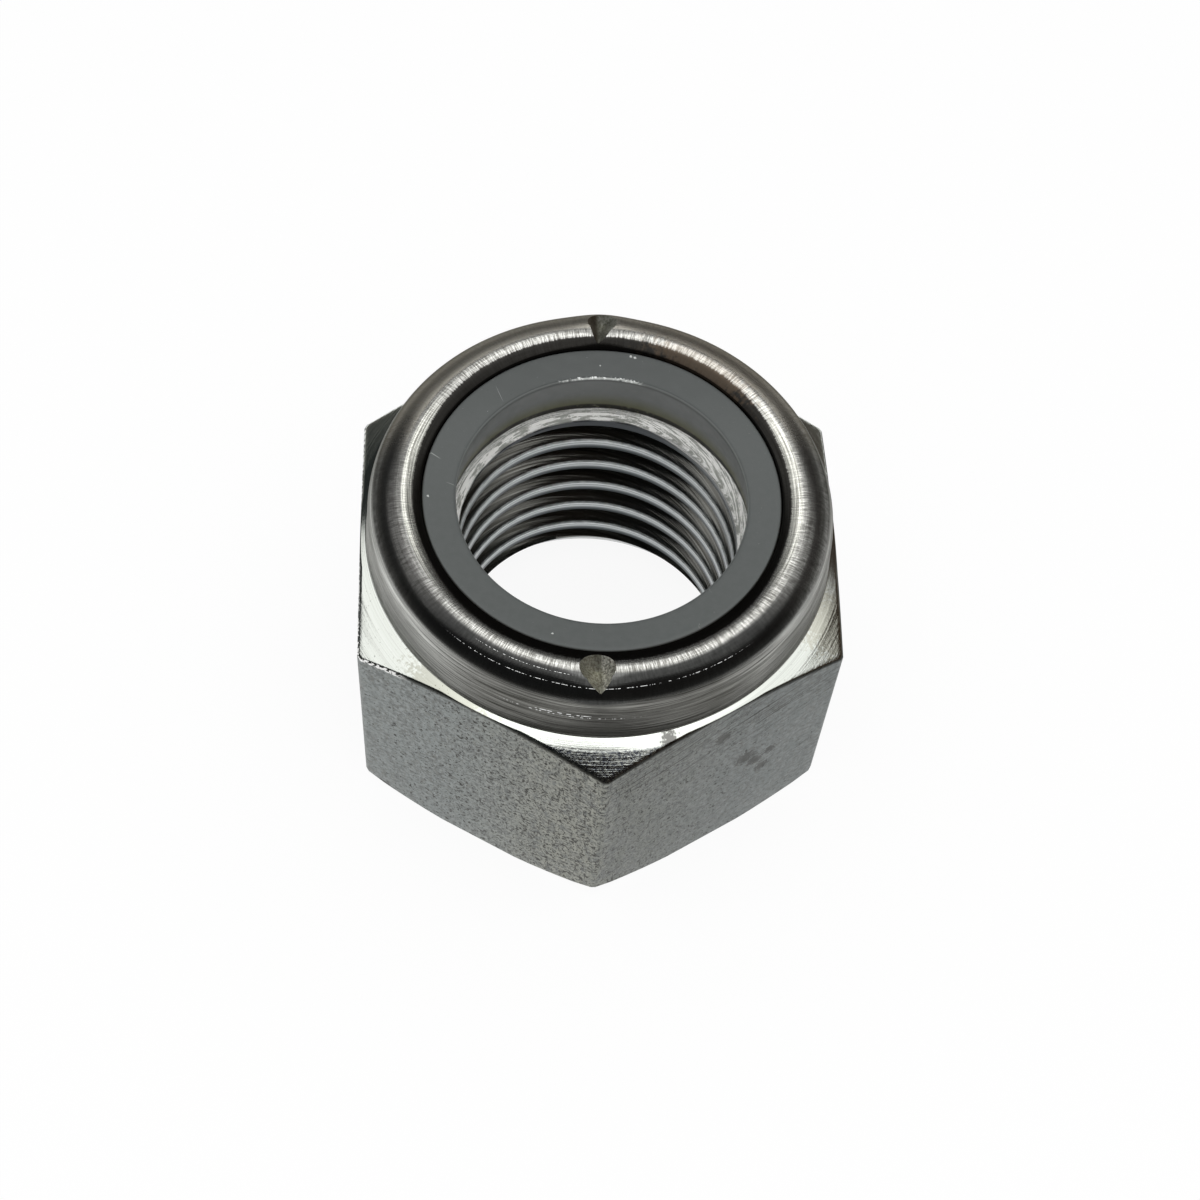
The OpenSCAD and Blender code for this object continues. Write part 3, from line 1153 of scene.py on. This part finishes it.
# Painted shade: inside the top the crown is painted nearly black, reaching further out at the back
# and the front.
ragged = radius + combs * 0.10
ragged = ragged - rise(behind, 3.0, 11.0, 0.0, 0.26) - rise(behind, -5.0, -12.0, 0.0, 0.30)
inner_painted_shade = rise(ragged, 14.10, 13.98)
colour = tint(inner_painted_shade * 0.95, colour, (0.012, 0.011, 0.010))
rust = patch(places, (9.0, 13.0, 26.5), 6.0, 0.4) * 0.15
colour = tint(rust, colour, (0.22, 0.155, 0.10))
# The bright dashes low on the rim's bend are painted glints.
colour, metal = with_painted_glints(places, colour, (-10.4, 0.035, 0.16, 0.50, (-138, -48)),
                           (-11.4, 0.03, 0.16, 0.55, (-128, -98)))
crown_rough = rise(marks, 0.2, 0.8, 0.24, 0.15) + dragged_and_painted_sheen * 0.16
shader.inputs["Specular Tint"].default_value = (0.12, 0.12, 0.11, 1.0)
finish("rim,", shader, colour=colour, metal=metal, rough=mix(upper, 0.36, crown_rough),
       normal=bump(mix(upper, wall["Rings"], marks), 0.004))

# %% [markdown]
# ## The thread
# The tap leaves dark smooth flanks, still oily, while the flat crests are what the drill left
# and are lighter and rougher. Where the thread opens on the pocket's floor the metal is torn
# and whitish. The radius and the height tell the three apart. Separate materials on the faces
# could do it too, but their borders would be hard. The crests' edges carry a painted highlight,
# and the crests nearest the pocket's floor are painted darker, as painted shade.

# %% Where a point lies on the thread
shader, places = begin_material(steel_materials["thread"], 1.0, 0.2)
height = places["Height"]
turns = height / PITCH - (places["Around"] / (AROUND_R * math.tau) + THREAD_PHASE)
from_crest = (calc("FRACT", turns + 50.5) - 0.5) * PITCH
crest = band(from_crest, 0.0, CREST_WIDTH / 2 + 0.25)
upper_edge = band(from_crest, CREST_WIDTH / 2 - 0.10, 0.20)
lower_edge = band(from_crest, 0.08, 0.13)
root = rise(places["Radius"], 11.6, 11.95)
count("places on the thread,", shader)

# %% The colours of the crests, flanks and roots
grit = grains(places, 0.14, (2, 2, 1))
nicks = rise(grains(places, 0.3, (2.5, 2.5, 1)), 0.3, 0.7)
around_lines = streaks(places, 0.05, 20.0, 3.5)
crest_colour = tint(grit * 0.5 + around_lines * 0.5, (0.09, 0.105, 0.11), (0.36, 0.385, 0.39))
crest_colour = tint(rise(from_crest, 0.05, -0.35), crest_colour, (0.035, 0.042, 0.045))
# Painted shade: the crests nearest the pocket's floor are painted darker.
crest_colour = tint(rise(height, 20.0, 20.5), crest_colour, (0.05, 0.055, 0.06))
flank_colour = tint(around_lines, (0.06, 0.058, 0.05), (0.26, 0.26, 0.245))
colour = tint(crest, flank_colour, crest_colour)
# Painted highlights: near white lines along the crests' upper and lower edges, faded out near the
# pocket's floor and less metallic.
painted_edge_shine = larger(upper_edge * (nicks * 0.35 + 0.55), lower_edge * 0.4)
painted_edge_shine = painted_edge_shine * rise(height, 20.5, 20.0)
colour = tint(painted_edge_shine, colour, (0.88, 0.92, 0.92))
colour = tint(root, colour, (0.13, 0.155, 0.165))
count("colours of the thread,", shader)

# %% The torn ring at the thread's upper end, and the finish
top = rise(height + rise(places["Right"], 3.0, 8.0, 0.0, 0.6), 20.92, 21.08)
seat_lines = streaks(places, 0.05, 2.4, 5.0) * 0.5 + grains(places, 0.12) * 0.5
torn = tint(rise(seat_lines, 0.3, 0.65), (0.38, 0.39, 0.36), (1.0, 1.0, 0.97))
dull = calc("ADD", top * 0.75, root * 0.35 + painted_edge_shine * 0.6, clamp=True)
finish("thread,", shader, colour=tint(top, colour, torn), metal=1.0 - dull,
       rough=crest * 0.16 + top * 0.25 + 0.15,
       normal=bump(crest * grit + around_lines, 0.004))

# %% [markdown]
# ## The faced surfaces
# The bearing face, the countersink and the pocket are turned in one go with a sharper feed, and
# nothing rubs them afterwards but handling. They share one finish: even rings, and a few specks.

# %% Finish of the underside, the countersink and the pocket
shader, places = begin_material(steel_materials["faced"], 1.0, 0.3)
rings = streaks(places, 0.1, 16.0, 4.0)
colour = tint(rings, (0.42, 0.42, 0.40), (0.80, 0.81, 0.79))
colour = tint(specks(places, 0.4, 0.66) * 0.6, colour, (0.12, 0.115, 0.10))
finish("faced,", shader, colour=colour, rough=rise(grains(places, 0.3), 0.3, 0.7, 0.26, 0.4),
       normal=bump(rings, 0.006))

# %% [markdown]
# ## The struck facets
# A struck notch shows torn, dull metal with a warm tone. Its right facet is turned to the light
# and is painted lighter, as painted light. The back notch is painted darker, with one facet dark
# brown, as painted shade. One material serves both, because a point's place says which notch and
# which facet it belongs to.

# %% Finish of the notches
shader, places = begin_material(steel_materials["notch"], 1.0, 0.5)
grit = grains(places, 0.16)
high_grit = rise(grit, 0.35, 0.65)
# Painted light: the front notch's right facet is painted lighter.
painted_lit_facet = tint(rise(places["Right"], -0.55, -0.35), (0.50, 0.50, 0.42), (0.86, 0.85, 0.78))
front_colour = tint(high_grit, (0.25, 0.24, 0.20), painted_lit_facet)
# Painted shade: the back notch is painted darker than the front one.
back_colour = tint(high_grit, (0.20, 0.20, 0.17), (0.36, 0.36, 0.32))
at_back = rise(places["Back"], -2.0, 2.0)
colour = tint(at_back, front_colour, back_colour)
# Painted shade: one facet of the back notch is painted dark brown.
painted_shade_facet = at_back * rise(places["Right"], 0.25, -0.2)
colour = tint(painted_shade_facet * 0.8, colour, (0.06, 0.04, 0.02))
finish("notches,", shader, colour=colour, normal=bump(grit, 0.02))

# %% [markdown]
# ## The polymer
# The ring is smooth, slightly waxy and grey. Light gets a little way into it: the wall of the hole
# is painted lighter, and olive towards its thin lower edge, as painted light. Near that edge it
# has picked up brown oil from the steel.
# Subsurface scattering could carry the light, but the tint depends only on the height, so a plain
# colour change along the height is quicker and is kept by the export.

# %% The colours of the locking ring
shader, places = begin_material(insert_material, 0.0, 0.42)
shader.inputs["Specular IOR Level"].default_value = 0.2
radius = places["Radius"]
height = places["Height"]
cloud = grains(places, 0.7)
colour = tint(rise(cloud, 0.3, 0.7), (0.080, 0.087, 0.085), (0.088, 0.095, 0.093))
# Painted shade: the ring is painted darker towards the back.
colour = tint(rise(places["Back"], 4.0, 13.0, 0.0, 0.7), colour, (0.058, 0.063, 0.062))
# Painted light: the wall of the hole is painted lighter, and olive towards its thin lower edge.
hole_wall = rise(radius, 11.75, 11.55)
colour = tint(hole_wall * rise(height, 26.25, 25.75), colour, (0.185, 0.195, 0.19))
low_wall = rise(height, 24.2, 22.0) * hole_wall
colour = tint(low_wall * 0.9, colour, (0.155, 0.155, 0.085))
count("greys of the ring,", shader)

# %% The torn brink of the hole, and the oil
torn_here = patch(places, (0.3, 10.8, 26.3), 3.2, 0.5)
# Painted highlight: a light line along the hole's rounded brink, brighter where the brink is torn.
brink = band(radius, 10.83, 0.055) * rise(height, 26.05, 26.2)
colour = tint(brink * (torn_here * 0.82 + 0.18), colour, (0.52, 0.54, 0.52))
torn_bits = band(radius, 10.85, 0.12) * (rise(grains(places, 0.2), 0.52, 0.6) * torn_here)
colour = tint(torn_bits * rise(height, 26.11, 26.19), colour, (0.85, 0.87, 0.85))
oil = rise(height, 22.3, 21.95) * rise(grains(places, 0.4), 0.26, 0.44)
colour = tint(oil, colour, (0.008, 0.005, 0.002))
colour = tint(rise(radius, 13.2, 13.3) * 0.8, colour, (0.035, 0.031, 0.025))
count("ring with its torn brink,", shader)

# %% Dirt and dust on the ring, and the finish
DUST = (((-12.85, -0.2, 26.55), 0.11), ((2.55, 12.7, 26.55), 0.13), ((2.85, 12.6, 26.55), 0.12),
        ((0.17, 11.9, 26.45), 0.08), ((-3.91, -11.8, 26.5), 0.10))
colour = tint(specks(places, 0.16, 0.735, 21.0), colour, (0.015, 0.015, 0.015))
dust = larger(specks(places, 0.10, 0.735, 7.0), scratches(places, 12, 2.2, 0.05, 0.76) * 0.35)
for centre, reach in DUST:
    dust = larger(dust, patch(places, centre, reach, 0.10) * 0.8)
colour = tint(dust, colour, (0.6, 0.62, 0.6))
finish("ring,", shader, colour=colour, rough=rise(cloud, 0.3, 0.7, 0.38, 0.48),
       normal=bump(grains(places, 0.25), 0.003))

# %% [markdown]
# ## The studio
# The nut stands on a white floor, which is white for the camera and for reflections. It could be
# made white with more light, but that would bleach the nut too. So it mixes in a white
# emission for those rays only, and keeps some of a diffuse shader for the nut's shadow.


# %% Helpers for the floor, the world and the tent
def seen_directly(tree):
    """1 for rays from the camera, from a reflection or through a clear piece."""
    path = put(tree, "ShaderNodeLightPath")
    return larger(path["Is Camera Ray"], path["Is Glossy Ray"], path["Is Transmission Ray"])


def stage_material(name, mesh):
    """An empty material on a mesh of the stage; returns its tree."""
    material = bpy.data.materials.new(name)
    material.use_nodes = True
    material.node_tree.nodes.clear()
    mesh.materials.append(material)
    return material.node_tree


# %% The floor
FLOOR_HALF = 6.0
FLOOR_WHITE = 0.92
floor_mesh = bpy.data.meshes.new("floor")
corners = [(x * FLOOR_HALF, y * FLOOR_HALF, 0) for x, y in ((-1, -1), (1, -1), (1, 1), (-1, 1))]
floor_mesh.from_pydata(corners, [], [(0, 1, 2, 3)])
floor = add_object("floor", floor_mesh)

tree = stage_material("floor", floor_mesh)
paper = put(tree, "ShaderNodeBsdfDiffuse", {"Color": (0.9, 0.9, 0.9, 1)})[0]
white = put(tree, "ShaderNodeEmission", {"Color": (1, 1, 1, 1), "Strength": 1.0})[0]
mixed = put(tree, "ShaderNodeMixShader",
            {0: seen_directly(tree) * FLOOR_WHITE, 1: paper, 2: white})[0]
put(tree, "ShaderNodeOutputMaterial", {"Surface": mixed})
print("floor, m:", 2 * FLOOR_HALF)

# %% [markdown]
# ## Light
# Light comes from the world and from one area lamp at a plain level, at which a colour renders
# about as it is written. Several spots could be set up, but one wide soft source gives the faint
# shadow round the nut's foot. Reflections don't see the lamp, because the tent below has the
# window that they need.

# %% The world and the lamp
WORLD_LEVEL = 0.7
LAMP_PLACE = (0, -0.10, 0.4)
world = bpy.data.worlds.new("world")
bpy.context.scene.world = world
world.use_nodes = True
sky = world.node_tree.nodes["Background"]
sky.inputs["Color"].default_value = (1, 1, 1, 1)
strength = mix(seen_directly(world.node_tree), WORLD_LEVEL, 1.0)
world.node_tree.links.new(strength.socket, sky.inputs["Strength"])

lamp_data = bpy.data.lights.new("softbox", "AREA")
lamp_data.shape = "RECTANGLE"
lamp_data.size = 0.45
lamp_data.size_y = 0.35
lamp_data.energy = 0.8
lamp = add_object("softbox", lamp_data)
lamp.location = LAMP_PLACE
lamp.visible_glossy = False
print("lamp, watts:", lamp_data.energy)

# %% [markdown]
# ## The tent
# Polished metal shows what is round it rather than the lamps, so the studio is shaped for its
# reflections: a dark tent with one wide window above and behind, as a photographer hangs cloth
# and leaves a softbox open. An image of a real studio on the world could do the same, but a
# window drawn by rule can be moved and sized. Only reflections see the tent.

# %% The tent's shell
TENT_RADIUS = 0.8
shell = bmesh.new()
bmesh.ops.create_uvsphere(shell, u_segments=48, v_segments=24, radius=TENT_RADIUS)
bmesh.ops.delete(shell, geom=[v for v in shell.verts if v.co.z < -0.01], context="VERTS")
tent_mesh = as_mesh("tent", shell)
tent = add_object("tent", tent_mesh)
for ray in ("camera", "diffuse", "transmission", "shadow"):
    setattr(tent, "visible_" + ray, False)
print("tent, faces:", len(tent_mesh.polygons))

# %% The window in the tent, with its bright core
WINDOW_SIDE = 1.0
WINDOW_FRONT = -0.262
WINDOW_BACK = 0.74
WINDOW_EDGE = 0.09
FRONT_EDGE = WINDOW_EDGE / 10
CORE_BACK = 0.47
tree = stage_material("tent", tent_mesh)
where = put(tree, "ShaderNodeTexCoord")["Object"]
parts = split(put(tree, "ShaderNodeVectorRotate", {"Vector": where, "Angle": CAMERA_TURN},
                  rotation_type="Z_AXIS")[0])
up_there = larger(parts[2], 0.001)
sideways = parts[0] / up_there
backwards = parts[1] / up_there
within = rise(abs(sideways + 0.04), WINDOW_SIDE + WINDOW_EDGE, WINDOW_SIDE - WINDOW_EDGE)
within = within * rise(backwards, WINDOW_FRONT - FRONT_EDGE, WINDOW_FRONT + FRONT_EDGE)
within = within * rise(backwards, WINDOW_BACK + WINDOW_EDGE, WINDOW_BACK - WINDOW_EDGE)
core = rise(abs(sideways), 0.42, 0.05) * rise(abs(backwards - CORE_BACK), 0.32, 0.05)
print("window, nodes:", len(tree.nodes))

# %% The cloth of the tent, and how bright each part is
WINDOW_LEVEL = 1.45
WINDOW_SIDE_LEVEL = 0.95
CORE_LEVEL = 4.2
cloth = tint(rise(parts[0], -0.3, 0.6), (0.016, 0.018, 0.018), (0.035, 0.026, 0.020))
glimmer = tint(rise(abs(parts[0]), 0.25, 0.65), (0.10, 0.095, 0.085), (0.26, 0.26, 0.245))
low_cloth = tint(rise(parts[2] / TENT_RADIUS, 0.45, 0.05), cloth, glimmer)
window_level = rise(abs(sideways), 0.25, 0.7, WINDOW_LEVEL, WINDOW_SIDE_LEVEL)
glow = put(tree, "ShaderNodeEmission", {
    "Color": tint(within, low_cloth, (1.0, 1.0, 0.985)),
    "Strength": mix(within, 1.0, window_level) + core * CORE_LEVEL})[0]
put(tree, "ShaderNodeOutputMaterial", {"Surface": glow})
print("tent, nodes:", len(tree.nodes))

bpy.context.scene.view_settings.view_transform = "Standard"
